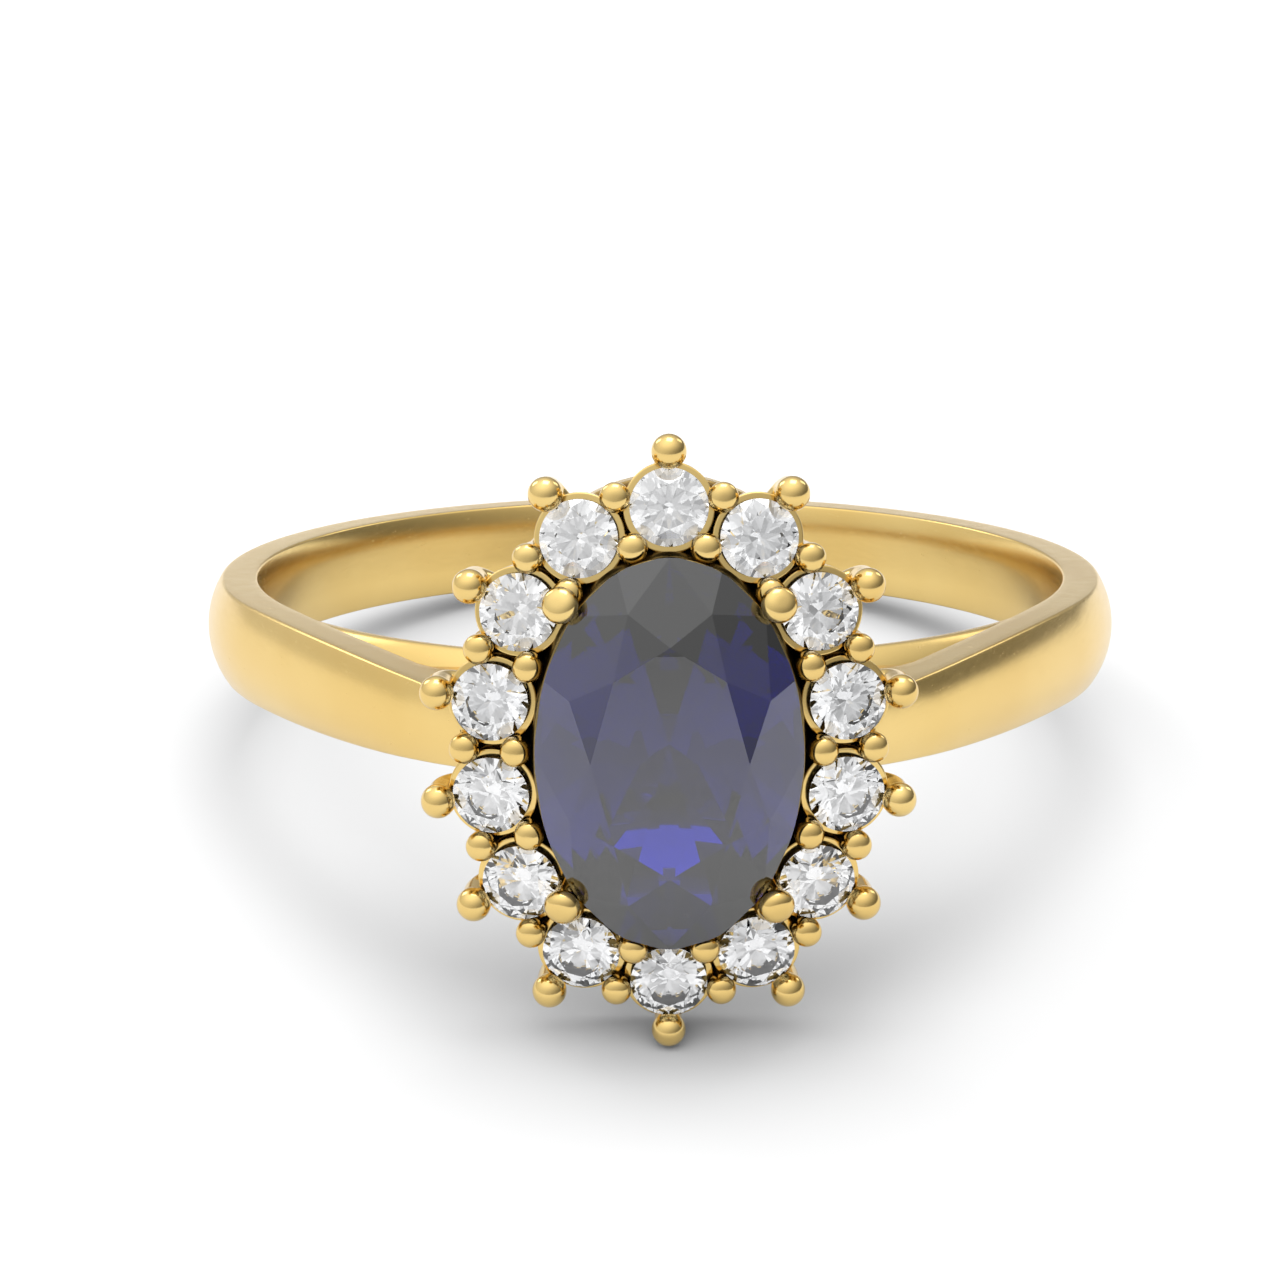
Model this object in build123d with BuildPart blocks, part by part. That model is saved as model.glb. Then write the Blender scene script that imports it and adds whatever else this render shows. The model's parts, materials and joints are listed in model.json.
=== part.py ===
from build123d import *
from math import asin, atan2, cos, degrees, hypot, pi, radians, sin
import os

os.makedirs("parts", exist_ok=True)

# A yellow gold cluster ring: an oval sapphire in four claws inside a halo of small round diamonds.
# Every piece is drawn with the finger axis along Z and the head towards -Y, the bore's centre at
# the origin. At the end all of them are laid down together as the ring rests on a table.
# Millimetres throughout.

# Finger band
bore_radius = 8.55  # comfort-fit crest, the surface that a finger meets
bore_land = 0.70  # length of the true cylinder at that crest
inner_edge_radius = 8.65
outer_edge_radius = 9.384
crown_radius = 9.697  # top of the domed outside
band_half_width = 1.003
shoulder_angle = 29.0  # where the shoulders leave the circle, below the X axis

# Thin front hoop that closes the circle under the head
hoop_half_width = 0.92
hoop_edge_radius = 8.80
hoop_crown_radius = 9.25
hoop_room_depth = 6.0  # radius down to which the room for the hoop is cleared
hoop_room_lap = 2.0  # degrees that this room runs past the hoop at each end

# Shoulders
shoulder_bend_radius = 31.7  # of the outer edge, seen along the finger
shoulder_sweep = 17.0  # degrees of that bend
taper_start = 8.60  # X where the band begins to narrow
taper_radius = 32.5
taper_end = 2.0
far = 16.0  # beyond everything
foot_inner_x = 2.55
foot_outer_x = 5.00
foot_behind = 8.60  # the foot starts inside the hoop, this far from the finger axis
foot_outer_behind = 7.00
foot_outer_front = 9.30
window_start = 0.4  # degrees along the bend
window_end = 9.0
window_corner = (4.42, 8.66)
window_foot = (3.74, 8.30)
window_heel = (3.60, 7.60)

# Head levels, measured forward from the finger axis
rail_back = 10.80
rail_front = 11.20
halo_level = 12.05
girdle_level = 12.61  # of the centre stone
seat_back = 12.05
seat_front = 12.50

# Centre stone, an oval brilliant
oval_half_width = 2.36
oval_half_length = 3.53
oval_crown = 0.61
oval_pavilion = 2.05
oval_table = 0.585
oval_star = 0.80
oval_girdle = 0.05
oval_sides = 96
lower_ridge = 0.24  # where the underside's halves meet its mains, as a share of the radius

# Halo of round brilliants in collets
halo_count = 14
halo_half_width = 3.22
halo_half_length = 4.32
halo_tilt = 11.0  # degrees that each stone leans away from the centre
oval_steps = 7200  # pieces in which the oval's length is measured
stone_radius = 0.69
stone_crown = 0.205
stone_pavilion = 0.595
stone_table = 0.57
stone_star = 0.79
stone_sides = 64
girdle_thickness = 0.03
collet_radius = 0.81
collet_foot_radius = 0.68
collet_bore = 0.40
collet_depth = 0.95
collet_taper_top = -0.45  # the wall is straight above this height
rim_height = -0.16  # below the stone's girdle
rim_ease = 0.03
stone_clearance = 0.012

# Gallery rail, offsets from the line of stone centres
rail_inset = 0.72
rail_outset = 0.42
rail_ease = 0.07
azure_radius = 0.36  # hole under each halo stone

# Seat of the centre stone
seat_outset = 0.06
seat_inset = 0.01  # of its ends behind the stone's own
seat_fit = 0.96  # how closely its bore follows the stone's underside

# Claws and beads
claw_wire = 0.25
claw_ball = 0.31
claw_reach = 0.955  # ball centre beyond the stone centre
claw_level = 11.91
claw_root = (0.34, 10.99)  # outward of the stone centre, and forward level
claw_elbow = (0.90, 11.08)
claw_bend = 0.33
centre_wire = 0.24
centre_run = ((1.05, 9.00, 0.60), (1.50, 11.15, 2.02), (1.69, 12.05, 2.43))  # from hoop to girdle
centre_tip = (1.896, 12.70, 2.717)
centre_bend = 1.2
centre_tip_radius = 0.325
centre_dome = 0.22
centre_neck = 0.30  # length of the turned neck under the head
bead_radius = 0.27
bead_dome = 0.20
bead_post = 0.22
bead_lean = 0.10  # of the head beyond the post's foot
outer_bead_offset = 0.47
outer_bead_level = 12.03
inner_bead_offset = 0.44
inner_bead_level = 12.30

# Turned claw heads, as shares of their crown's height or their radius
crown_share = 0.42  # height at which the low crown meets the side
crown_reach = 0.55  # a middle point of the low crown, as shares of radius and height
crown_drop = 0.83
skirt_share = 0.30
crown_round = 0.35
skirt_round = 0.10
near_zero = 0.001

front = Vector(0, -1, 0)
pieces = []


def finish(piece, label):
    """Name a finished piece and keep it for the last step."""
    piece.label = label
    pieces.append(piece)


def ring_point(x, forward, z):
    """A point given by its distance in front of the finger axis."""
    return (x, -forward, z)


def facing_plane(forward):
    """A plane across the head at a level, its normal pointing out of the head."""
    return Plane(origin=ring_point(0, forward, 0), x_dir=(1, 0, 0), z_dir=front)


def radial_plane(angle):
    """The plane through the finger axis at an angle, with X outward and Y along the finger."""
    turn = radians(angle)
    return Plane(origin=(0, 0, 0), x_dir=(cos(turn), sin(turn), 0), z_dir=(sin(turn), -cos(turn), 0))


# ---- gems -------------------------------------------------------------------------------------


def facet_planes(table, star, crown, pavilion, girdle):
    """Facets of a round brilliant of radius 1, each as three points.

    The mains run from the table's corners to the girdle, the stars lie on the table's edges, and
    the halves fill what is left beside the girdle.
    """
    step = pi / 4
    half = step / 2

    def on(radius, turn, height):
        return Vector(radius * sin(turn), radius * cos(turn), height)

    edge = girdle / 2
    main_drop = (crown - edge) / (1 - table)
    star_height = crown - main_drop * (star * cos(half) - table)
    ridge_height = -pavilion + (pavilion - edge) * lower_ridge * cos(half)
    facets = []
    for index in range(8):
        turn = index * step
        tangent = on(1, turn + pi / 2, 0)
        table_corner = on(table, turn, crown)
        upper = on(1, turn, edge)
        lower = on(1, turn, -edge)
        facets.append((table_corner, upper, upper + tangent))
        facets.append((table_corner, on(table, turn + step, crown), on(star, turn + half, star_height)))
        facets.append((on(0, 0, -pavilion), lower, lower + tangent))
        for side in (turn + half, turn - half):
            facets.append((on(star, side, star_height), on(1, side, edge), upper))
            facets.append((on(lower_ridge, side, ridge_height), on(1, side, -edge), lower))
    return facets


def cut_gem(half_width, half_length, table, star, crown, pavilion, girdle, sides):
    """A brilliant cut from a prism, stretched to an oval, table up and girdle at Z = 0."""
    outline = []
    for index in range(sides):
        turn = 2 * pi * (index + 0.5) / sides
        outline.append((half_width * sin(turn), half_length * cos(turn)))
    with BuildPart() as gem:
        with BuildSketch(Plane.XY.offset(-pavilion)):
            Polygon(*outline, align=None)
        extrude(amount=pavilion + crown)
        for facet in facet_planes(table, star, crown, pavilion, girdle):
            corners = [Vector(p.X * half_width, p.Y * half_length, p.Z) for p in facet]
            normal = (corners[1] - corners[0]).cross(corners[2] - corners[0]).normalized()
            outward = normal if normal.dot(corners[0]) > 0 else -normal
            split(bisect_by=Plane(origin=corners[0], z_dir=outward), keep=Keep.BOTTOM)
    return gem.part


oval_gem = cut_gem(
    oval_half_width,
    oval_half_length,
    oval_table,
    oval_star,
    oval_crown,
    oval_pavilion,
    oval_girdle,
    oval_sides,
)
round_gem = cut_gem(
    stone_radius,
    stone_radius,
    stone_table,
    stone_star,
    stone_crown,
    stone_pavilion,
    girdle_thickness,
    stone_sides,
)

with BuildPart() as centre_sapphire:
    add(oval_gem.moved(facing_plane(girdle_level).location))
finish(centre_sapphire.part, "centre_sapphire")

# ---- places around the halo -------------------------------------------------------------------


def oval_places(count):
    """Points spaced evenly along the halo's oval, each with its outward direction."""
    lengths = [0.0]
    for index in range(oval_steps):
        a = 2 * pi * index / oval_steps
        b = 2 * pi * (index + 1) / oval_steps
        across = halo_half_width * (sin(b) - sin(a))
        along = halo_half_length * (cos(b) - cos(a))
        lengths.append(lengths[-1] + hypot(across, along))
    places = []
    for number in range(count):
        target = lengths[-1] * number / count
        index = min(range(oval_steps), key=lambda k: abs(lengths[k] - target))
        turn = 2 * pi * index / oval_steps
        point = Vector(halo_half_width * sin(turn), 0, halo_half_length * cos(turn))
        outward = Vector(sin(turn) / halo_half_width, 0, cos(turn) / halo_half_length).normalized()
        places.append((point, outward))
    return places


stone_places = oval_places(halo_count)
halo_frames = [Plane(origin=point, x_dir=out, z_dir=front).location for point, out in stone_places]
lean = Location((0, 0, halo_level), (0, halo_tilt, 0))  # from a halo place to its leaning stone

gap_places = []
for index in range(halo_count):
    here = stone_places[index][0]
    after = stone_places[(index + 1) % halo_count][0]
    chord = after - here
    gap_places.append(((here + after) / 2, Vector(chord.Z, 0, -chord.X).normalized() * -1))

# ---- band -------------------------------------------------------------------------------------


def comfort_line(half_width):
    """The inside of a section: a short land that meets the finger, easing away to both edges."""
    Line((bore_radius, -bore_land / 2), (bore_radius, bore_land / 2))
    for side in (1, -1):
        land_end = (bore_radius, side * bore_land / 2)
        TangentArc(land_end, (inner_edge_radius, side * half_width), tangent=(0, side))


def band_face(plane):
    """Section of the band: comfort-fit inside, flat sides and a domed outside."""
    with BuildSketch(plane) as section:
        with BuildLine():
            comfort_line(band_half_width)
            for edge in (band_half_width, -band_half_width):
                Line((inner_edge_radius, edge), (outer_edge_radius, edge))
            ThreePointArc(
                (outer_edge_radius, band_half_width),
                (crown_radius, 0),
                (outer_edge_radius, -band_half_width),
            )
        make_face()
    return section.sketch


def hoop_face(plane):
    """Section of the thin front hoop: the same inside under a lens-shaped outside."""
    with BuildSketch(plane) as section:
        with BuildLine():
            comfort_line(hoop_half_width)
            for edge in (hoop_half_width, -hoop_half_width):
                Line((inner_edge_radius, edge), (hoop_edge_radius, edge))
            ThreePointArc(
                (hoop_edge_radius, hoop_half_width),
                (hoop_crown_radius, 0),
                (hoop_edge_radius, -hoop_half_width),
            )
        make_face()
    return section.sketch


def half_width_at(x):
    """Half width of the tapering band at a distance to the side: an arc tangent to the full width."""
    run = taper_start - x
    return band_half_width - taper_radius + (taper_radius**2 - run**2) ** 0.5


taper_middle = (taper_start + taper_end) / 2
with BuildPart() as right_room:
    # all that may hold band metal in front of the finger axis, narrowing towards the head
    with BuildSketch(Plane.XZ):
        with BuildLine():
            for side in (1, -1):
                ThreePointArc(
                    (taper_start, side * band_half_width),
                    (taper_middle, side * half_width_at(taper_middle)),
                    (taper_end, side * half_width_at(taper_end)),
                )
                Line((taper_start, side * band_half_width), (far, side * band_half_width))
            for x in (taper_end, far):
                Line((x, -half_width_at(min(x, taper_start))), (x, half_width_at(min(x, taper_start))))
        make_face()
    extrude(amount=far)

hoop_turn = 180 - 2 * shoulder_angle
with BuildPart() as side_band:
    # the stretch of band from the widest point to where the right shoulder leaves it
    revolve(band_face(radial_plane(-shoulder_angle)), axis=Axis.Z, revolution_arc=shoulder_angle)
    add(right_room.part, mode=Mode.INTERSECT)

with BuildPart() as shank:
    revolve(band_face(radial_plane(0)), axis=Axis.Z, revolution_arc=180)
    add(side_band.part)
    mirror(side_band.part, about=Plane.YZ)
    revolve(hoop_face(radial_plane(180 + shoulder_angle)), axis=Axis.Z, revolution_arc=hoop_turn)
finish(shank.part, "shank")

# ---- rails of the head ------------------------------------------------------------------------

with BuildPart() as gallery_rail:
    # flat oval rail under the halo, with an open azure below each stone
    with BuildSketch(facing_plane(rail_back)):
        Ellipse(halo_half_width + rail_outset, halo_half_length + rail_outset)
        Ellipse(halo_half_width - rail_inset, halo_half_length - rail_inset, mode=Mode.SUBTRACT)
    extrude(amount=rail_front - rail_back)
    fillet(gallery_rail.edges().filter_by(GeomType.ELLIPSE), radius=rail_ease)
    for frame in halo_frames:
        with BuildSketch(Plane(frame * lean)):
            Circle(azure_radius)
        extrude(amount=-2 * (halo_level - rail_back), mode=Mode.SUBTRACT)
finish(gallery_rail.part, "gallery_rail")

# ---- shoulders --------------------------------------------------------------------------------

bend_offset = outer_edge_radius - shoulder_bend_radius
junction = Vector(cos(radians(shoulder_angle)), -sin(radians(shoulder_angle)), 0)
bend_centre = junction * bend_offset
inner_bend_radius = shoulder_bend_radius - (outer_edge_radius - inner_edge_radius)


def on_inner_bend(turn):
    """A point of the shoulder's inner edge, some degrees after it leaves the circle."""
    angle = radians(-shoulder_angle - turn)
    return bend_centre + Vector(cos(angle), sin(angle), 0) * inner_bend_radius


with BuildPart() as hoop_room:
    # everything inside the outside face of the front hoop
    with BuildSketch(radial_plane(180 + shoulder_angle - hoop_room_lap)) as lens:
        with BuildLine():
            ThreePointArc(
                (hoop_edge_radius, hoop_half_width),
                (hoop_crown_radius, 0),
                (hoop_edge_radius, -hoop_half_width),
            )
            Line((hoop_edge_radius, hoop_half_width), (hoop_room_depth, hoop_half_width))
            Line((hoop_room_depth, hoop_half_width), (hoop_room_depth, -hoop_half_width))
            Line((hoop_room_depth, -hoop_half_width), (hoop_edge_radius, -hoop_half_width))
        make_face()
    revolve(axis=Axis.Z, revolution_arc=hoop_turn + 2 * hoop_room_lap)

with BuildPart() as right_shoulder:
    bend_axis = Axis(tuple(bend_centre), (0, 0, -1))
    revolve(band_face(radial_plane(-shoulder_angle)), axis=bend_axis, revolution_arc=shoulder_sweep)
    with BuildSketch():
        # foot between the shoulder and the hoop
        Polygon(
            (foot_inner_x, -foot_behind),
            (foot_inner_x, -rail_back),
            (halo_half_width + rail_outset / 2, -rail_back),
            (foot_outer_x, -foot_outer_front),
            (foot_outer_x, -foot_outer_behind),
            align=None,
        )
    extrude(amount=band_half_width, both=True)
    add(right_room.part, mode=Mode.INTERSECT)
    with BuildSketch():
        # window between the shoulder, the foot and the hoop
        with BuildLine():
            middle = (window_start + window_end) / 2
            bend_points = [on_inner_bend(turn) for turn in (window_start, middle, window_end)]
            edge = ThreePointArc(*bend_points)
            corners = [(x, -forward) for x, forward in (window_corner, window_foot, window_heel)]
            Polyline(edge @ 1, *corners, edge @ 0)
        make_face()
    extrude(amount=2 * band_half_width, both=True, mode=Mode.SUBTRACT)
    with BuildSketch(facing_plane(rail_back)):
        Rectangle(2 * (halo_half_width + rail_outset), 4 * band_half_width)
    extrude(amount=far, mode=Mode.SUBTRACT)
    add(hoop_room.part, mode=Mode.SUBTRACT)
    add(gallery_rail.part, mode=Mode.SUBTRACT)
finish(right_shoulder.part, "right_shoulder")

with BuildPart() as left_shoulder:
    mirror(right_shoulder.part, about=Plane.YZ)
finish(left_shoulder.part, "left_shoulder")

# ---- halo stones and their collets ------------------------------------------------------------



cone_slope = (stone_pavilion - girdle_thickness / 2) / stone_radius * cos(pi / 8)


def pavilion_radius(height):
    """Radius of the cone round a halo stone's underside at a height below its girdle."""
    return (stone_pavilion + height) / cone_slope


def pavilion_height(radius):
    """Height at which that cone has a radius."""
    return radius * cone_slope - stone_pavilion


with BuildPart() as collet_blank:
    # tapered cup with a seat that follows the stone and an open foot
    with BuildSketch(Plane.XZ):
        with BuildLine():
            Polyline(
                (collet_foot_radius, -collet_depth),
                (collet_radius, collet_taper_top),
                (collet_radius, rim_height - rim_ease),
                (collet_radius - rim_ease, rim_height),
                (pavilion_radius(rim_height) + stone_clearance, rim_height),
                (collet_bore, pavilion_height(collet_bore) - stone_clearance),
                (collet_bore, -collet_depth),
                (collet_foot_radius, -collet_depth),
            )
        make_face()
    revolve(axis=Axis.Z)

with BuildPart() as stone_room:
    # a turned shape that holds a halo stone with a hair to spare
    with BuildSketch(Plane.XZ):
        with BuildLine():
            Polyline(
                (0, stone_crown + stone_clearance),
                (stone_table * stone_radius + stone_clearance, stone_crown + stone_clearance),
                (stone_radius + stone_clearance, girdle_thickness / 2 + stone_clearance),
                (stone_radius + stone_clearance, -girdle_thickness / 2 - stone_clearance),
                (0, -stone_pavilion - 2 * stone_clearance),
                (0, stone_crown + stone_clearance),
            )
        make_face()
    revolve(axis=Axis.Z)

with BuildPart() as below_halo:
    with BuildSketch(facing_plane(rail_front)):
        Rectangle(far, far)
    extrude(amount=-far)

collets = []
for number, frame in enumerate(halo_frames, 1):
    with BuildPart() as halo_stone:
        add(round_gem.moved(frame * lean))
    finish(halo_stone.part, f"halo_stone_{number:02d}")
    with BuildPart() as halo_collet:
        add(collet_blank.part.moved(frame * lean))
        add(below_halo.part, mode=Mode.SUBTRACT)
    finish(halo_collet.part, f"halo_collet_{number:02d}")
    collets.append(halo_collet.part)

# ---- claws of the centre stone ----------------------------------------------------------------


def claw_head(radius, height, neck, length):
    """A turned claw end pointing up: low crown, rounded edge, and a neck that runs down."""
    shoulder = crown_share * height
    skirt = skirt_share * height
    with BuildPart(mode=Mode.PRIVATE) as head:
        with BuildSketch(Plane.XZ):
            with BuildLine():
                ThreePointArc((0, height), (crown_reach * radius, crown_drop * height), (radius, shoulder))
                Polyline(
                    (radius, shoulder),
                    (radius, -skirt),
                    (neck, -skirt - (radius - neck)),
                    (neck, -length),
                    (0, -length),
                    (0, height),
                )
            head_face = make_face()
            corners = head_face.vertices()
            outer = corners.filter_by_position(Axis.Y, shoulder - near_zero, shoulder + near_zero)
            fillet(outer, radius=crown_round * radius)
            lower = corners.filter_by_position(Axis.Y, -skirt - near_zero, -skirt + near_zero)
            fillet(lower, radius=skirt_round * radius)
        revolve(axis=Axis.Z)
    return head.part


def near(point, number):
    """Halo places nearest to a point, so that a claw is cut back only by its neighbours."""
    order = sorted(range(halo_count), key=lambda k: (halo_frames[k].position - Vector(*point)).length)
    return order[:number]


centre_head = claw_head(centre_tip_radius, centre_dome, centre_wire, centre_neck)
centre_claws = []
centre_tips = []
claw_corners = ((1, 1), (1, -1), (-1, -1), (-1, 1))
for number, (hand, rise) in enumerate(claw_corners, 1):
    tip_point = Vector(hand * centre_tip[0], -centre_tip[1], rise * centre_tip[2])
    with BuildPart() as centre_claw:
        with BuildLine() as run:
            FilletPolyline(
                *[ring_point(hand * x, forward, rise * z) for x, forward, z in centre_run],
                tip_point,
                radius=centre_bend,
            )
        with BuildSketch(Plane(origin=run.line @ 0, z_dir=run.line % 0)):
            Circle(centre_wire)
        sweep(path=run.line)
        tip_plane = Plane(origin=tip_point, z_dir=run.line % 1)
        add(centre_head.moved(tip_plane.location))
        add(hoop_room.part, mode=Mode.SUBTRACT)
        for index in near(tip_point, 2):
            add(collets[index], mode=Mode.SUBTRACT)
    finish(centre_claw.part, f"centre_claw_{number}")
    centre_claws.append(centre_claw.part)
    centre_tips.append(tip_point)

with BuildPart() as centre_seat:
    # oval ring that carries the sapphire, bored to follow its underside
    seat_half_width = oval_half_width + seat_outset
    seat_half_length = oval_half_length - seat_inset
    with BuildSketch(facing_plane(seat_back)):
        Ellipse(seat_half_width, seat_half_length)
    extrude(amount=seat_front - seat_back)
    for level in (seat_back, seat_front):
        shrink = 1 - (girdle_level - oval_girdle / 2 - level) / oval_pavilion * seat_fit
        with BuildSketch(facing_plane(level)):
            Ellipse(oval_half_width * shrink + stone_clearance, oval_half_length * shrink + stone_clearance)
    loft(mode=Mode.SUBTRACT)
    for claw in centre_claws:
        add(claw, mode=Mode.SUBTRACT)
    for collet in collets:
        add(collet, mode=Mode.SUBTRACT)
finish(centre_seat.part, "centre_seat")

# ---- claws and beads of the halo --------------------------------------------------------------

with BuildPart() as claw_blank:
    # bent finger in a halo place's own frame: X outward, Z forward
    with BuildLine(Plane.XZ) as run:
        FilletPolyline(
            claw_root,
            claw_elbow,
            (claw_reach, claw_level),
            radius=claw_bend,
        )
    with BuildSketch(Plane(origin=run.line @ 0, z_dir=run.line % 0)):
        Circle(claw_wire)
    sweep(path=run.line)
    with Locations(run.line @ 1):
        Sphere(claw_ball)
    add(collet_blank.part.moved(lean), mode=Mode.SUBTRACT)
    add(stone_room.part.moved(lean), mode=Mode.SUBTRACT)

for number, frame in enumerate(halo_frames, 1):
    with BuildPart() as outer_claw:
        add(claw_blank.part.moved(frame))
        add(gallery_rail.part, mode=Mode.SUBTRACT)
    finish(outer_claw.part, f"outer_claw_{number:02d}")

for label, offset, level in (
    ("outer_beads", outer_bead_offset, outer_bead_level),
    ("inner_beads", -inner_bead_offset, inner_bead_level),
):
    with BuildPart() as bead_group:
        for index, (middle, outward) in enumerate(gap_places):
            foot = middle + outward * (offset - bead_lean) + front * rail_front
            top = middle + outward * offset + front * level
            bead_plane = Plane(origin=top, z_dir=(top - foot).normalized())
            turned = claw_head(bead_radius, bead_dome, bead_post, (top - foot).length + bead_lean)
            with BuildPart(mode=Mode.PRIVATE) as bead:
                add(turned.moved(bead_plane.location))
                if offset < 0:
                    gaps = [(tip - top).length for tip in centre_tips]
                    add(centre_claws[gaps.index(min(gaps))], mode=Mode.SUBTRACT)
                for neighbour in (index, (index + 1) % halo_count):
                    add(collets[neighbour], mode=Mode.SUBTRACT)
                add(below_halo.part, mode=Mode.SUBTRACT)
            add(bead.part)
    finish(bead_group.part, label)

# ---- the whole ring laid down as it rests -----------------------------------------------------

# the ball of the lowest outer claw and the back edge of the band touch the table
low_ball = stone_places[halo_count // 2][0].Z - claw_reach
drop = -band_half_width - low_ball
span = outer_edge_radius + claw_level
rest_angle = degrees(atan2(drop, span) + asin(claw_ball / hypot(drop, span)))
laid_down = Rotation(-rest_angle, 0, 0)
boxes = [(laid_down * piece).bounding_box() for piece in pieces]
back = max(box.max.Y for box in boxes)
nearest = min(box.min.Y for box in boxes)
lowest = min(box.min.Z for box in boxes)
rest = Location((0, -(back + nearest) / 2, -lowest)) * laid_down
print("rest angle", rest_angle, "bore centre", rest.position)

for piece in pieces:
    seated = rest * piece
    seated.label = piece.label
    export_step(seated, f"parts/{seated.label}.step")
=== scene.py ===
import json
from math import radians
import bpy
import numpy as np
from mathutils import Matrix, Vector


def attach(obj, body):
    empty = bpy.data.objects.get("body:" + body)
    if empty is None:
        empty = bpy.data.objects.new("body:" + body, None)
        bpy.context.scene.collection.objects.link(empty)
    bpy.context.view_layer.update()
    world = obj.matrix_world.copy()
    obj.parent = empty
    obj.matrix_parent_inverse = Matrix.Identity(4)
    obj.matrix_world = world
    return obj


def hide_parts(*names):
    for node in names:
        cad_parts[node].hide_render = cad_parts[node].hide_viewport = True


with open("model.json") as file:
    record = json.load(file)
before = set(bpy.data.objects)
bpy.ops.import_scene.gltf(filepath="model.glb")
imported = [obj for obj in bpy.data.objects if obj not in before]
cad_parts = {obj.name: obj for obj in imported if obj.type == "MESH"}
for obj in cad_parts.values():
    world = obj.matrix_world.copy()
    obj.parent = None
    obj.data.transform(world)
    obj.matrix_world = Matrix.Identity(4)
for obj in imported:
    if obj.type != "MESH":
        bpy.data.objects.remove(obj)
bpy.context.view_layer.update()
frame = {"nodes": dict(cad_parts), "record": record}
print("frame loaded:", len(frame["nodes"]), "nodes")

# The ring's own frame is in millimetres: finger axis along Z, head towards -Y, origin at the bore's centre.
fingerBore = next(mount for mount in frame["record"]["mounts"] if mount["name"] == "finger_bore")
boreCentre = np.array(fingerBore["pos_m"])
fingerAxis = np.array(fingerBore["axis"]) / np.linalg.norm(fingerBore["axis"])
acrossAxis = np.array((1.0, 0.0, 0.0))
ringAxes = np.array((acrossAxis, np.cross(fingerAxis, acrossAxis), fingerAxis))
front = np.array((0.0, -1.0, 0.0))  # out of the head
metresPerMillimetre = 0.001


def toRow(points):  # the ring's own millimetres become the row frame's metres
    return boreCentre + np.asarray(points) @ ringAxes * metresPerMillimetre


camera = {  # place and aim in the ring's own frame
    "place": (-0.8465, -61.916, 12.669),
    "aim": (0.00662, 0.97769, -0.20996),
    "lens": 81.83,
    "sensor": 36.0,
    "near": 0.001,
    "far": 10.0,
}


def makeCamera():
    data = bpy.data.cameras.new("camera")
    data.lens = camera["lens"]
    data.sensor_width = camera["sensor"]
    data.clip_start = camera["near"]
    data.clip_end = camera["far"]
    seat = bpy.data.objects.new("camera", data)
    bpy.context.scene.collection.objects.link(seat)
    seat.location = toRow(camera["place"])
    seat.rotation_euler = Vector(np.array(camera["aim"]) @ ringAxes).to_track_quat("-Z", "Y").to_euler()
    bpy.context.scene.camera = seat


panels = {  # soft boxes: place, size, watts
    "topPanel": ((0.02, 0.10, 0.42), (0.22, 0.22), 0.42),
    "leftBackPanel": ((-0.26, 0.24, 0.20), (0.10, 0.16), 0.14),
    "rightBackPanel": ((0.26, 0.24, 0.20), (0.10, 0.16), 0.08),
}


def makePanel(name, place, size, power):
    data = bpy.data.lights.new(name, "AREA")
    data.shape = "RECTANGLE"
    data.size, data.size_y = size
    data.energy = power
    panel = bpy.data.objects.new(name, data)
    bpy.context.scene.collection.objects.link(panel)
    panel.location = place
    panel.rotation_euler = (-Vector(place)).to_track_quat("-Z", "Y").to_euler()


class Wire:  # a shader socket: arithmetic on it adds Math nodes
    def __init__(self, recipe, socket):
        self.recipe = recipe
        self.socket = socket

    def maths(self, operation, first, second):
        return self.recipe.node("Math", {"operation": operation}, {0: first, 1: second})

    def __add__(self, other):
        return self.maths("ADD", self, other)

    def __mul__(self, other):
        return self.maths("MULTIPLY", self, other)

    __radd__ = __add__
    __rmul__ = __mul__


class Recipe:  # a node tree in the making
    def __init__(self, owner):
        owner.use_nodes = True
        self.tree = owner.node_tree
        self.tree.nodes.clear()

    def node(self, kind, settings=None, inputs=None, output=0):
        made = self.tree.nodes.new("ShaderNode" + kind)
        for key, value in (settings or {}).items():
            setattr(made, key, value)
        for key, value in (inputs or {}).items():
            if isinstance(value, Wire):
                self.tree.links.new(value.socket, made.inputs[key])
            else:
                made.inputs[key].default_value = value
        return Wire(self, made.outputs[output]) if len(made.outputs) else None

    def here(self):  # the point on the object, in metres
        return self.node("TexCoord", output="Object")

    def noise(self, scale, detail=2.0, stretch=None):
        place = self.here()
        if stretch:
            place = self.node("Mapping", None, {"Vector": place, "Scale": stretch})
        return self.node("TexNoise", None, {"Vector": place, "Scale": scale, "Detail": detail}, "Fac")

    def blend(self, share, first, second):  # a colour between two colours
        return self.node("Mix", {"data_type": "RGBA"}, {"Factor": share, 6: first, 7: second}, 2)

    def share(self, value, low, high):  # a number brought from one range into 0 to 1
        return self.node("MapRange", None, {"Value": value, "From Min": low, "From Max": high})


def newMaterial(name):
    material = bpy.data.materials.new(name)
    return material, Recipe(material)


gold = {  # scales are per metre, depths in metres
    "bright": (0.80, 0.585, 0.228, 1),
    "deep": (0.755, 0.53, 0.188, 1),
    "clouds": {"scale": 260.0, "detail": 3.0},
    "cloudRange": (0.35, 0.65),
    "marks": {"scale": 2600.0, "detail": 4.0, "stretch": (1.0, 1.0, 7.0)},
    "grain": {"scale": 30000.0, "detail": 2.0},
    "bump": {"Strength": 0.25, "Distance": 0.000002},
    "roughShares": {"even": 0.55, "marks": 0.5, "grain": 0.4},
    # painted shade: dark gold that stands in for the shade in the recess ahead of the gallery rail
    "paintedRecessShade": (0.26, 0.17, 0.06, 1),
    "recessLevel": 11.15,  # millimetres ahead of the bore's centre, where the painted shade starts
    "recessFade": 0.00003,
}


def toned(colour, tone):  # a darker or lighter colour of the same hue
    return tuple(tone * part for part in colour[:3]) + (1,)


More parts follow.
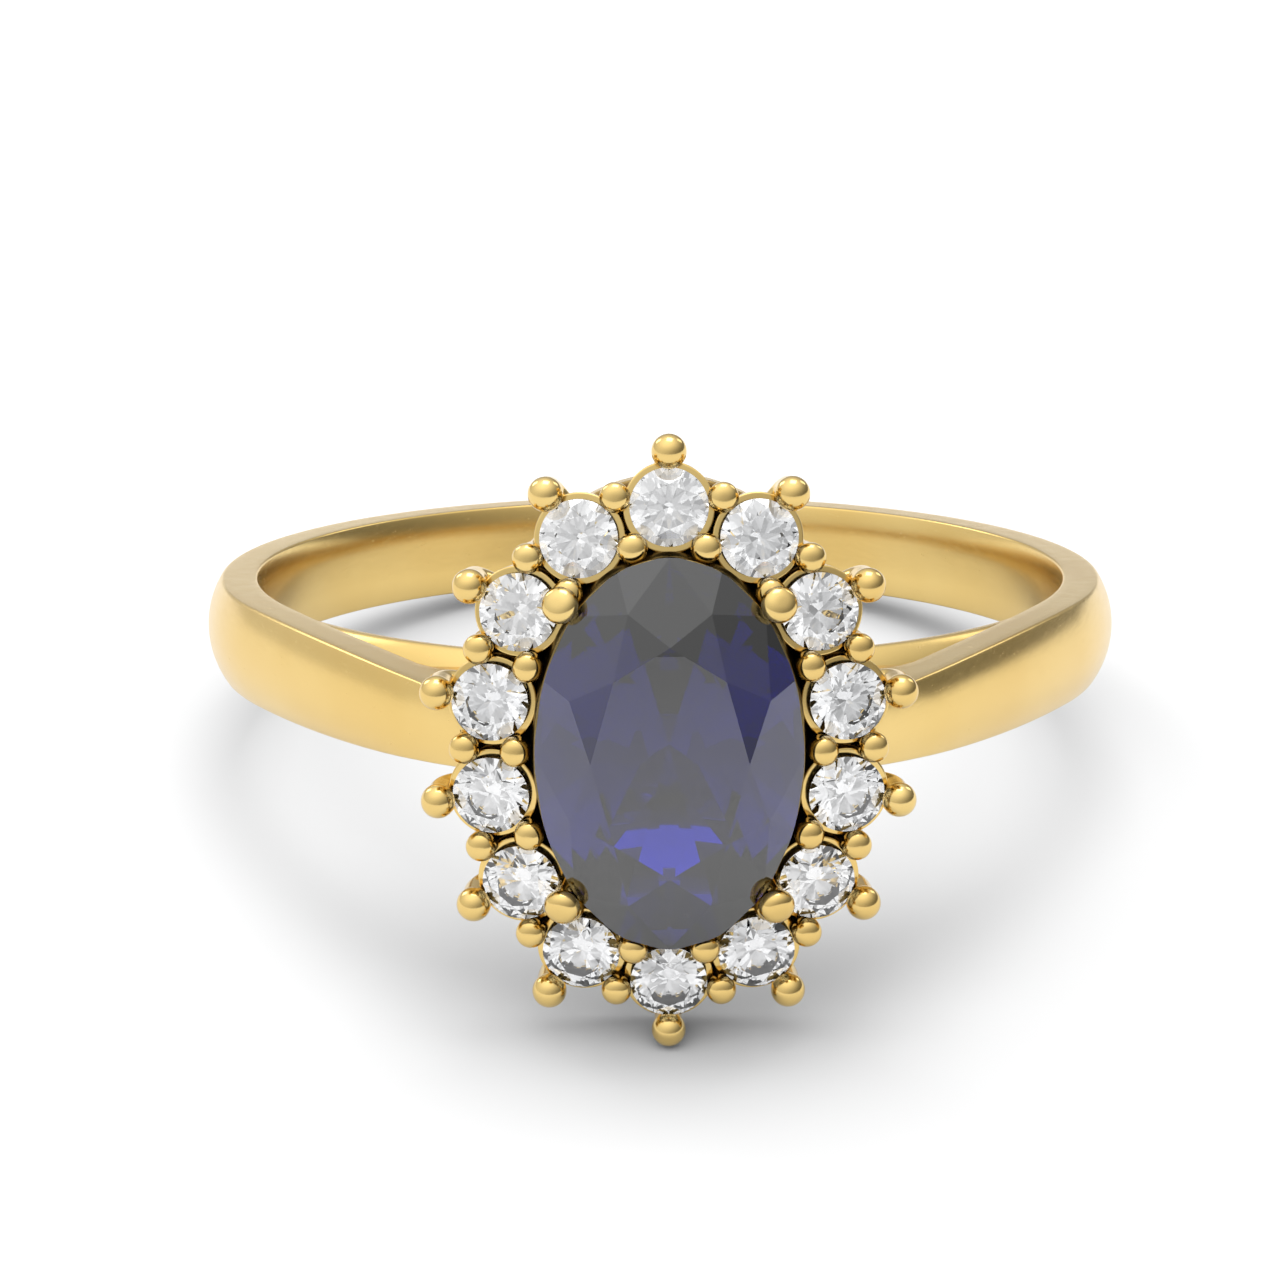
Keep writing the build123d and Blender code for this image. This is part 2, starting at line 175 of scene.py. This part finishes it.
def goldFinish(name, roughness, marksWeight, grainWeight, tone=1.0, paintRecessShade=False):
    # slow clouds of colour, long polishing marks and a fine grain, each with its own weight
    material, recipe = newMaterial(name)
    clouds, marks, grain = (recipe.noise(**gold[part]) for part in ("clouds", "marks", "grain"))
    height = marks * marksWeight + grain * grainWeight
    bump = recipe.node("Bump", None, {**gold["bump"], "Height": height})
    even, inMarks, inGrain = (roughness * share for share in gold["roughShares"].values())
    rough = marks * inMarks + grain * inGrain + even
    patches = recipe.share(clouds, *gold["cloudRange"])
    colour = recipe.blend(patches, toned(gold["bright"], tone), toned(gold["deep"], tone))
    if paintRecessShade:  # painted shade: darker in the recess ahead of the gallery rail
        forward = Vector(front @ ringAxes)
        places = {0: recipe.here(), 1: forward}
        level = recipe.node("VectorMath", {"operation": "DOT_PRODUCT"}, places, "Value")
        edge = float(toRow(gold["recessLevel"] * front) @ np.array(forward))
        ahead = recipe.share(level, edge - gold["recessFade"], edge + gold["recessFade"])
        colour = recipe.blend(ahead, colour, gold["paintedRecessShade"])
    settings = {"Base Color": colour, "Metallic": 1.0, "Roughness": rough, "Normal": bump}
    recipe.node("OutputMaterial", None, {"Surface": recipe.node("BsdfPrincipled", None, settings)})
    return material


growth = {"scale": 700.0, "detail": 2.0, "stretch": (1.0, 2.5, 1.0)}
growthRange = (0.35, 0.65)
gems = {
    "sapphire": {
        "clear": (0.032, 0.042, 0.68, 1),
        "zoned": (0.022, 0.028, 0.56, 1),
        "index": 1.77,
        "coat": {"Coat Weight": 1.0, "Coat IOR": 1.6, "Coat Roughness": 0.0},
        "body": {"Color": (0.05, 0.05, 0.50, 1), "Density": 700.0},
    },
    "diamond": {
        "clear": (1.0, 1.0, 1.0, 1),
        "zoned": (0.975, 0.985, 1.0, 1),
        "index": 2.417,
        "coat": {},
        "body": None,
    },
}


def gemFinish(name, look):
    # a clear stone with faint growth zones in its colour and, if it is deeply coloured, a tinted body
    material, recipe = newMaterial(name)
    zones = recipe.share(recipe.noise(**growth), *growthRange)
    colour = recipe.blend(zones, look["clear"], look["zoned"])
    settings = {"Base Color": colour, "Roughness": 0.0, "IOR": look["index"], "Transmission Weight": 1.0}
    settings.update(look["coat"])
    outputs = {"Surface": recipe.node("BsdfPrincipled", None, settings)}
    if look["body"]:
        outputs["Volume"] = recipe.node("VolumeAbsorption", None, look["body"])
    recipe.node("OutputMaterial", None, outputs)
    return material


# for each gold: roughness, weight of the marks, weight of the grain, tone
bandGold = goldFinish("bandGold", 0.24, 0.6, 0.25)
headGold = goldFinish("headGold", 0.15, 0.4, 0.4)
# innerGold is a tenth darker than the other golds and carries the painted recess shade
innerGold = goldFinish("innerGold", 0.28, 0.8, 1.0, 0.9, paintRecessShade=True)
# painted shade: gold at a third of its brightness, for the deep, shaded parts of the head
paintedShadeGold = goldFinish("paintedShadeGold", 0.30, 0.8, 1.0, 0.32)
sapphireBlue = gemFinish("sapphireBlue", gems["sapphire"])
diamondWhite = gemFinish("diamondWhite", gems["diamond"])

studio = {
    "floorReach": 1.5,
    "floorTone": (0.90, 0.90, 0.90, 1),
    "floorVein": (0.885, 0.885, 0.885, 1),
    "floorClouds": {"scale": 40.0, "detail": 2.0},
}
sky = {"level": 0.64, "overhead": 1.34, "backward": -0.06, "rightward": -0.42}


def makeStudio():
    mesh = bpy.data.meshes.new("floor")
    corners = np.array([(-1, -1, 0), (1, -1, 0), (1, 1, 0), (-1, 1, 0)]) * studio["floorReach"]
    mesh.from_pydata(corners.tolist(), [], [range(4)])
    floor = bpy.data.objects.new("floor", mesh)
    bpy.context.scene.collection.objects.link(floor)
    material, recipe = newMaterial("paleFloor")
    clouds = recipe.noise(**studio["floorClouds"])
    tone = recipe.blend(clouds, studio["floorTone"], studio["floorVein"])
    recipe.node("OutputMaterial", None, {"Surface": recipe.node("BsdfDiffuse", None, {"Color": tone})})
    mesh.materials.append(material)
    world = bpy.data.worlds.new("studioWorld")
    bpy.context.scene.world = world
    recipe = Recipe(world)
    way = recipe.node("TexCoord", output="Generated")
    right, back, up = (recipe.node("SeparateXYZ", None, {0: way}, axis) for axis in "XYZ")
    level = right * sky["rightward"] + back * sky["backward"] + up * up * sky["overhead"] + sky["level"]
    light = recipe.node("Background", None, {"Strength": level})
    recipe.node("OutputWorld", None, {"Surface": light})


makeCamera()
for panelName, (panelPlace, panelSize, panelPower) in panels.items():
    makePanel(panelName, panelPlace, panelSize, panelPower)
makeStudio()
print("studio ready")


def ringFaces(count, around, closed, fans):
    # Quads between neighbouring rings, wrapping round each ring and, if closed, from the last ring to
    # the first. With fans, triangles close both ends on two poles that follow the rings' points.
    ring = np.arange(count if closed else count - 1)[:, None] * around
    step = np.arange(around)[None, :]
    onward = (step + 1) % around
    later = (ring + around) % (count * around)
    quads = np.stack((ring + step, ring + onward, later + onward, later + step), -1).reshape(-1, 4)
    triangles = []
    if fans:
        last = (count - 1) * around
        step, onward = step[0], onward[0]
        triangles.append(np.stack((onward, step, np.full(around, count * around)), -1))
        triangles.append(np.stack((last + step, last + onward, np.full(around, count * around + 1)), -1))
    triangles = np.concatenate(triangles) if triangles else np.zeros((0, 3), int)
    return quads, triangles


def enclosed(points, quads, triangles):  # six times the volume inside the faces
    corners = np.concatenate((quads[:, :3], quads[:, [0, 2, 3]], triangles))
    a, b, c = (points[corners[:, index]] for index in range(3))
    return np.einsum("ij,ij->", a, np.cross(b, c))


def makePiece(name, shells, material, nodes, crease=40.0):
    # each shell is (rings of points, closed along its length, the two poles or nothing)
    points, quads, triangles, total = [], [], [], 0
    for rings, closed, poles in shells:
        count, around = rings.shape[:2]
        own = np.concatenate([rings.reshape(-1, 3)] + ([np.array(poles)] if poles is not None else []))
        square, fan = ringFaces(count, around, closed, poles is not None)
        if enclosed(own - own.mean(0), square, fan) < 0:
            square, fan = square[:, ::-1], fan[:, ::-1]
        points.append(own)
        quads.append(square + total)
        triangles.append(fan + total)
        total += len(own)
    points, quads, triangles = (np.concatenate(part) for part in (points, quads, triangles))
    mesh = bpy.data.meshes.new(name)
    mesh.vertices.add(len(points))
    mesh.vertices.foreach_set("co", toRow(points).astype(np.float32).ravel())
    corners = np.concatenate((quads.ravel(), triangles.ravel()))
    mesh.loops.add(len(corners))
    mesh.loops.foreach_set("vertex_index", corners.astype(np.int32))
    starts = np.concatenate((np.arange(len(quads)) * 4, quads.size + np.arange(len(triangles)) * 3))
    mesh.polygons.add(len(starts))
    mesh.polygons.foreach_set("loop_start", starts.astype(np.int32))
    mesh.update(calc_edges=True)
    mesh.shade_smooth()
    mesh.set_sharp_from_angle(angle=radians(crease))
    mesh.materials.append(material)
    piece = bpy.data.objects.new(name, mesh)
    bpy.context.scene.collection.objects.link(piece)
    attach(piece, "root")
    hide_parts(*nodes)


def bend(share, start, corner, end):  # a quadratic curve, drawn towards corner on its way
    return (1 - share) ** 2 * start + 2 * share * (1 - share) * corner + share**2 * end


def curve(start, corner, end, count):  # its points in order, without the first
    return bend(np.linspace(0, 1, count + 1)[1:, None], start, corner, end)


def unit(vectors):
    return vectors / np.linalg.norm(vectors, axis=-1, keepdims=True)


def eased(corners, ease, count):
    # a closed outline whose corners are cut by quadratic curves that start `ease` before each of them
    corners = np.array(corners)
    outline = []
    for index, here in enumerate(corners):
        before, after = corners[index - 1], corners[(index + 1) % len(corners)]
        start = here + unit(before - here) * ease
        outline += [start[None], curve(start, here, here + unit(after - here) * ease, count)]
    return np.concatenate(outline)


band = {
    "innerEdge": 8.65,
    "outerEdge": 9.384,
    "crown": 0.313,  # of the domed outside above its edges
    "half": 1.003,
    "land": 0.35,  # half of the flat crest inside
    "sag": 0.10,  # of that crest below the inner edges
    "ease": 0.05,  # outer edges rounded back by this much
    "innerEase": 0.05,
    "leaves": 29.0,  # degrees below the side where the shoulders leave the circle
    "taperStart": 8.60,
    "taperRadius": 32.5,
    "stations": 300,
}
hoop = {"outerEdge": 8.80, "crown": 0.45, "half": 0.92, "ease": 0.05, "stations": 140}
sectionSteps = {"inside": 8, "innerEase": 5, "side": 4, "outerEase": 6, "outside": 14}
shoulder = {
    "bend": 31.7,
    "armSweep": 9.6,
    "armStations": 90,
    # the foot's edge towards the hoop, as (across, back), and the degrees of bend on its outer edge
    "footInner": np.array([(4.42, -8.66), (3.74, -8.30), (3.16, -8.43), (3.16, -8.43), (2.55, -8.63)]),
    "footSweep": (10.6, 12.4, 13.98),
    "railBack": -10.80,
    "heelLean": 0.001,
    "footSteps": 5,
}


def halfWidthAt(x, y):  # towards the head the taper is an arc of taperRadius, tangent at taperStart
    run = np.where(y < 0, np.clip(band["taperStart"] - np.abs(x), 0, None), 0)
    return band["half"] - band["taperRadius"] + np.sqrt(band["taperRadius"] ** 2 - run**2)


def bandSection(half, thick, crown, fullHalf, ease, lift):
    # For every station a closed outline in (outward, along the finger): inside a flat crest that rises
    # as a parabola, outside an arc of one radius over the edges, and four edges eased by quadratic curves.
    radius = (fullHalf**2 + crown**2) / (2 * crown)
    half, thick, lift = (np.broadcast_to(value, half.shape)[:, None] for value in (half, thick, lift))

    def inside(z):
        run = np.clip(z - band["land"], 0, None) / (band["half"] - band["land"])
        return band["sag"] * (run**2 - 1)

    def outside(z):
        return thick + lift * (crown - radius + np.sqrt(radius**2 - z**2))

    def span(low, high, count, skip=1):
        return low + (high - low) * np.linspace(0, 1, count + 1)[None, skip:]

    def rounded(steps, *points):
        return bend(np.linspace(0, 1, steps + 1)[None, 1:], *points)

    small = band["innerEase"]
    low, high = inside(half), outside(half)
    crest = span(0, half - small, sectionSteps["inside"], 0)
    side = span(low + small, high - ease, sectionSteps["side"])
    dome = span(half - ease, 0 * half, sectionSteps["outside"])
    inner, outer = sectionSteps["innerEase"], sectionSteps["outerEase"]
    outward = np.concatenate((
        inside(crest),
        rounded(inner, inside(half - small), low, low + small),
        side,
        rounded(outer, high - ease, high, outside(half - ease)),
        outside(dome),
    ), 1)
    along = np.concatenate((
        crest,
        rounded(inner, half - small, half, half),
        half + 0 * side,
        rounded(outer, half, half, half - ease),
        dome,
    ), 1)
    outward = np.concatenate((outward, outward[:, -2:0:-1]), 1)
    along = np.concatenate((along, -along[:, -2:0:-1]), 1)
    return outward, along


def carry(inner, outer, size, half, ease, lift=1.0, taper=True):
    # stands a section at every station on the line from its inner to its outer edge point
    thick = np.linalg.norm(outer - inner, axis=1)
    direction = (outer - inner) / thick[:, None]
    outward, along = bandSection(half, thick, size["crown"], size["half"], ease, lift)
    flat = inner[:, None, :] + direction[:, None, :] * outward[..., None]
    if taper:
        along = along * halfWidthAt(flat[..., 0], flat[..., 1]) / half[:, None]
    return np.concatenate((flat, along[..., None]), -1)


def onCircle(radius, degrees):  # points round the finger axis, turned from the right-hand side
    angle = np.radians(np.atleast_1d(degrees))
    return np.stack((radius * np.cos(angle), radius * np.sin(angle)), -1)


def makeShank():
    # the band's section carried round the back and the hoop's round the front, in one closed circle
    turn = np.linspace(-band["leaves"], 180 + band["leaves"], band["stations"])
    outer = onCircle(band["outerEdge"], turn)
    back = carry(onCircle(band["innerEdge"], turn), outer, band, halfWidthAt(*outer.T), band["ease"])
    turn = np.linspace(180 + band["leaves"], 360 - band["leaves"], hoop["stations"])
    outer = onCircle(hoop["outerEdge"], turn)
    half = np.full(len(turn), hoop["half"])
    under = carry(onCircle(band["innerEdge"], turn), outer, hoop, half, hoop["ease"], taper=False)
    circle = np.concatenate((back, under))
    makePiece("shankBand", [(circle, True, None)], bandGold, ["shank"])


def makeShoulders():
    # an arm on a wide bend that is tangent to the band, then a foot that reaches down to the front hoop
    centre = onCircle(band["outerEdge"] - shoulder["bend"], -band["leaves"])
    turn = np.linspace(0, shoulder["armSweep"], shoulder["armStations"])
    arm = centre + onCircle(shoulder["bend"], -band["leaves"] - turn)
    innerBend = shoulder["bend"] + band["innerEdge"] - band["outerEdge"]
    armInner = centre + onCircle(innerBend, -band["leaves"] - turn)
    heel = centre + onCircle(shoulder["bend"], -band["leaves"] - np.array(shoulder["footSweep"]))
    back = shoulder["railBack"]
    footInner = shoulder["footInner"]
    toes = [(heel[-1, 0] - shoulder["heelLean"], back), (footInner[-1, 0], back)]
    footOuter = np.concatenate((heel, toes))
    corners = np.concatenate((armInner[-1:], footInner)), np.concatenate((arm[-1:], footOuter))
    steps = shoulder["footSteps"]
    stops = np.arange(len(footInner) + 1)
    fine = np.linspace(0, stops[-1], steps * stops[-1] + 1)[1:]
    fine = np.unique(np.concatenate((fine, stops[1:])))
    foot = [np.stack([np.interp(fine, stops, side[:, axis]) for axis in (0, 1)], -1) for side in corners]
    inner = np.concatenate((armInner, foot[0]))
    outer = np.concatenate((arm, foot[1]))
    lift = np.concatenate((np.ones(len(arm)), np.where(fine <= stops[3], 1.0, 0.0)))
    rings = carry(inner, outer, band, halfWidthAt(*outer.T), band["ease"], lift)
    poles = rings[[0, -1]].mean(1)
    for side, hand in (("Right", 1), ("Left", -1)):
        shell = (rings * (hand, 1, 1), False, poles * (hand, 1, 1))
        makePiece("shoulder" + side, [shell], bandGold, [side.lower() + "_shoulder"])


makeShank()
makeShoulders()
print("band and shoulders made")

halo = {
    "count": 14, "halfWidth": 3.22, "halfLength": 4.32, "level": 12.05, "tilt": 11.0, "railFront": 11.20,
    "measuredSteps": 7200,
}


def oval(turn, halfWidth, halfLength):  # sine of the turn across, cosine along the finger
    return np.stack((halfWidth * np.sin(turn), 0 * turn, halfLength * np.cos(turn)), -1)


def lengthAlong(points):  # from the first point to each of them
    return np.concatenate(([0], np.cumsum(np.linalg.norm(np.diff(points, axis=0), axis=1))))


def haloPlaces():
    # points spaced evenly along the halo's oval by measuring its length, with their outward directions
    across, along = halo["halfWidth"], halo["halfLength"]
    turn = np.linspace(0, 2 * np.pi, halo["measuredSteps"] + 1)
    length = lengthAlong(oval(turn, across, along))
    turn = np.interp(length[-1] * np.arange(halo["count"]) / halo["count"], length, turn)
    return oval(turn, across, along), unit(oval(turn, 1 / across, 1 / along))


stonePlace, stoneOut = haloPlaces()
stoneNext = np.roll(stonePlace, -1, 0)
gapPlace = (stonePlace + stoneNext) / 2
gapOut = unit(np.cross(stoneNext - stonePlace, front))
gapOut = gapOut * np.sign((gapOut * gapPlace).sum(1, keepdims=True))


def lathe(profile, origin, axis, count):  # a profile of (radius, height) turned round an axis
    side = unit(np.cross(axis, (0.3, 0.2, 1.0)))
    other = np.cross(axis, side)
    turn = np.linspace(0, 2 * np.pi, count, endpoint=False)
    spoke = np.cos(turn)[:, None] * side + np.sin(turn)[:, None] * other
    profile = np.asarray(profile)
    return origin + profile[:, 0, None, None] * spoke + profile[:, 1, None, None] * np.asarray(axis)


def tube(path, radii, side, count):  # circles across a path, each with its own radius
    radii = radii[:, None, None]
    along = unit(np.gradient(path, axis=0))
    first = unit(np.cross(side, along))
    second = np.cross(along, first)
    turn = np.linspace(0, 2 * np.pi, count, endpoint=False)[None, :, None]
    return path[:, None] + radii * (np.cos(turn) * first[:, None] + np.sin(turn) * second[:, None])


bendSteps = 12  # at each corner of a wire


def softPath(corners, ease, spacing):
    # straight runs joined by quadratic curves that start `ease` before each corner, then evenly spaced
    corners = np.asarray(corners, float)
    points = [corners[:1]]
    for before, here, after in zip(corners, corners[1:], corners[2:]):
        start = here + unit(before - here) * ease
        end = here + unit(after - here) * ease
        points += [start[None], curve(start, here, end, bendSteps)]
    points = np.concatenate(points + [corners[-1:]])
    length = lengthAlong(points)
    even = np.linspace(0, length[-1], int(length[-1] / spacing) + 2)
    return np.stack([np.interp(even, length, points[:, axis]) for axis in range(3)], -1), even


clawHead = {"swell": 0.4, "sideFrom": 0.25, "underSteps": 7}


def headProfile(radius, height, neck, skirt, full, count):
    # from the neck up: a rounded underside, a short side and a low crown (a stretched quarter ellipse)
    flare = radius - neck
    start = np.array((neck, -skirt - flare))
    corner = np.array((radius, -skirt - clawHead["swell"] * flare))
    end = np.array((radius, -clawHead["sideFrom"] * skirt))
    turn = np.linspace(0, np.pi / 2, count)[:-1]
    crown = np.stack((radius * np.cos(turn) ** full, height * np.sin(turn)), -1)
    return np.concatenate((curve(start, corner, end, clawHead["underSteps"]), crown))


collet = {
    # (radius, height above the stone's girdle): bore, foot, top of the taper, rim, lip, seat
    "section": ((0.40, -0.95), (0.68, -0.95), (0.81, -0.45), (0.81, -0.16), (0.535, -0.16), (0.40, -0.28)),
    "easedCorners": (3, 4),
    "ease": 0.035, "easeSteps": 5, "around": 72, "crease": 30.0,
}


def makeCollets():
    # a tapered cup: outer wall, eased rim, a seat under the stone and a bore
    corners = np.array(collet["section"])
    profile = [corners[:3]]
    for index in collet["easedCorners"]:
        here = corners[index]
        start = here + unit(corners[index - 1] - here) * collet["ease"]
        end = here + unit(corners[index + 1] - here) * collet["ease"]
        profile += [start[None], curve(start, here, end, collet["easeSteps"])]
    profile = np.concatenate(profile + [corners[5:]])
    lean = radians(halo["tilt"])
    for number in range(halo["count"]):
        axis = np.cos(lean) * front + np.sin(lean) * stoneOut[number]
        origin = stonePlace[number] + halo["level"] * front
        rings = lathe(profile, origin, axis, collet["around"])
        name, node = f"collet{number + 1:02d}", f"halo_collet_{number + 1:02d}"
        makePiece(name, [(rings, True, None)], headGold, [node], collet["crease"])


outerClaw = {
    "path": ((0.34, 10.99), (0.90, 11.08), (0.955, 11.91)),  # outward of the stone's centre, forward
    "ease": 0.24, "wire": 0.25, "ball": 0.31, "spacing": 0.03, "around": 40,
    "wrap": 0.62,  # share of a quarter turn by which the ball reaches back over the wire
    "ballRings": 25,
    "freeRings": 20,  # of the ball's rings, those that may be thinner than the wire
    "gap": 0.01,
}


def makeOuterClaws():
    # a bent wire that ends in a ball: where they meet, the radius is the larger of the two
    for number in range(halo["count"]):
        corners = [stonePlace[number] + u * stoneOut[number] + f * front for u, f in outerClaw["path"]]
        path, length = softPath(corners, outerClaw["ease"], outerClaw["spacing"])
        ball = outerClaw["ball"]
        tip = unit(path[-1] - path[-2])
        quarter = np.pi / 2
        angles = np.linspace(-outerClaw["wrap"] * quarter, quarter, outerClaw["ballRings"] + 1)[:-1]
        ahead = ball * np.sin(angles)
        stem = path[length < length[-1] + ahead[0] - outerClaw["gap"]]
        path = np.concatenate((stem, path[-1] + ahead[:, None] * tip))
        radii = np.concatenate((np.full(len(stem), outerClaw["wire"]), ball * np.cos(angles)))
        held = np.arange(len(path)) < len(path) - outerClaw["freeRings"]
        radii = np.maximum(radii, np.where(held, outerClaw["wire"], 0))
        side = np.cross(front, stoneOut[number])
        rings = tube(path, radii, side, outerClaw["around"])
        poles = np.array((path[0], corners[-1] + ball * tip))
        name, node = f"outerClaw{number + 1:02d}", f"outer_claw_{number + 1:02d}"
        makePiece(name, [(rings, False, poles)], headGold, [node])


beads = {
    "outer": {"offset": 0.47, "level": 12.03, "skirt": 0.12},
    "inner": {"offset": -0.44, "level": 12.30, "skirt": 0.24},
    "radius": 0.27, "crown": 0.20, "post": 0.22, "lean": 0.10, "full": 0.85, "crownSteps": 16, "around": 40,
}


def makeBeads():
    # low turned heads on leaning posts, one at each side of every gap between two stones
    for group in ("outer", "inner"):
        row = beads[group]
        head = headProfile(
            beads["radius"], beads["crown"], beads["post"], row["skirt"], beads["full"], beads["crownSteps"]
        )
        shells = []
        for place, out in zip(gapPlace, gapOut):
            foot = place + (row["offset"] - beads["lean"]) * out + halo["railFront"] * front
            top = place + row["offset"] * out + row["level"] * front
            reach = np.linalg.norm(top - foot)
            axis = (top - foot) / reach
            profile = np.concatenate(([(beads["post"], -reach)], head))
            poles = (foot, top + beads["crown"] * axis)
            shells.append((lathe(profile, top, axis, beads["around"]), False, poles))
        makePiece(group + "Beads", shells, headGold, [group + "_beads"])


centreClaw = {
    # across, forward, along the finger
    "path": ((1.05, 9.0, 0.60), (1.50, 11.15, 2.02), (1.69, 12.05, 2.43), (1.896, 12.70, 2.717)),
    "ease": 0.30, "wire": 0.24, "radius": 0.325, "crown": 0.22, "skirt": 0.07, "full": 0.72,
    "crownSteps": 22, "around": 56, "spacing": 0.05, "gap": 0.02,
}


def makeCentreClaws():
    # a wire from the front hoop past the seat, ended by a broad low head that leans over the sapphire
    size = centreClaw
    head = headProfile(
        size["radius"], size["crown"], size["wire"], size["skirt"], size["full"], size["crownSteps"]
    )
    for number, (hand, rise) in enumerate(((1, 1), (1, -1), (-1, -1), (-1, 1)), 1):
        corners = [np.array((hand * x, -forward, rise * z)) for x, forward, z in size["path"]]
        path, length = softPath(corners, size["ease"], size["spacing"])
        tip = unit(corners[-1] - corners[-2])
        stem = path[length < length[-1] + head[0, 1] - size["gap"]]
        radii = np.concatenate((np.full(len(stem), size["wire"]), head[:, 0]))
        path = np.concatenate((stem, corners[-1] + head[:, 1, None] * tip))
        rings = tube(path, radii, (0.0, 0.0, 1.0), size["around"])
        poles = np.array((path[0], corners[-1] + size["crown"] * tip))
        node = f"centre_claw_{number}"
        makePiece(f"centreClaw{number}", [(rings, False, poles)], headGold, [node])


seat = {  # sections as (outset, level)
    "halfWidth": 2.385, "halfLength": 3.50, "ease": 0.03, "easeSteps": 4, "around": 160,
    "rim": ((0, 12.05), (0, 12.50), (-0.09, 12.50), (-0.64, 12.05)),
    "skirt": ((0.15, 11.18), (0, 12.30), (-0.17, 12.10), (0.0, 11.18)),
}


def makeSeat():
    # Two oval rings, each an eased section carried round: the rim, whose inner wall slopes with the
    # sapphire's underside, and the skirt that closes the head down to the gallery rail. Both carry painted
    # shade, gold darkened to a third, and the skirt puts a dark wall where the gap behind the seat is in
    # shade.
    turn = np.linspace(0, 2 * np.pi, seat["around"], endpoint=False)[:, None]
    shells = []
    for part in ("rim", "skirt"):
        outset, level = eased(seat[part], seat["ease"], seat["easeSteps"]).T
        across = (seat["halfWidth"] + outset) * np.sin(turn)
        along = (seat["halfLength"] + outset) * np.cos(turn)
        shells.append((np.stack((across, -level + 0 * turn, along), -1), True, None))
    # painted shade: both rings carry the darkened gold
    makePiece("sapphireSeat", shells, paintedShadeGold, ["centre_seat"])


makeCollets()
makeOuterClaws()
makeBeads()
makeCentreClaws()
makeSeat()
print("head made")

# finishes of the pieces that stay as they are
for name, node in frame["nodes"].items():
    node.data.materials.clear()
    if name == "centre_sapphire":
        node.data.materials.append(sapphireBlue)
    elif name.startswith("halo_stone"):
        node.data.materials.append(diamondWhite)
    else:
        node.data.materials.append(innerGold)

bounces = {"max_bounces": 24, "transmission_bounces": 20, "glossy_bounces": 3}
bpy.context.scene.view_settings.view_transform = "Standard"
for limit, count in bounces.items():
    setattr(bpy.context.scene.cycles, limit, count)
bpy.context.scene.cycles.caustics_reflective = False
bpy.context.scene.cycles.caustics_refractive = False
print("finishes set")
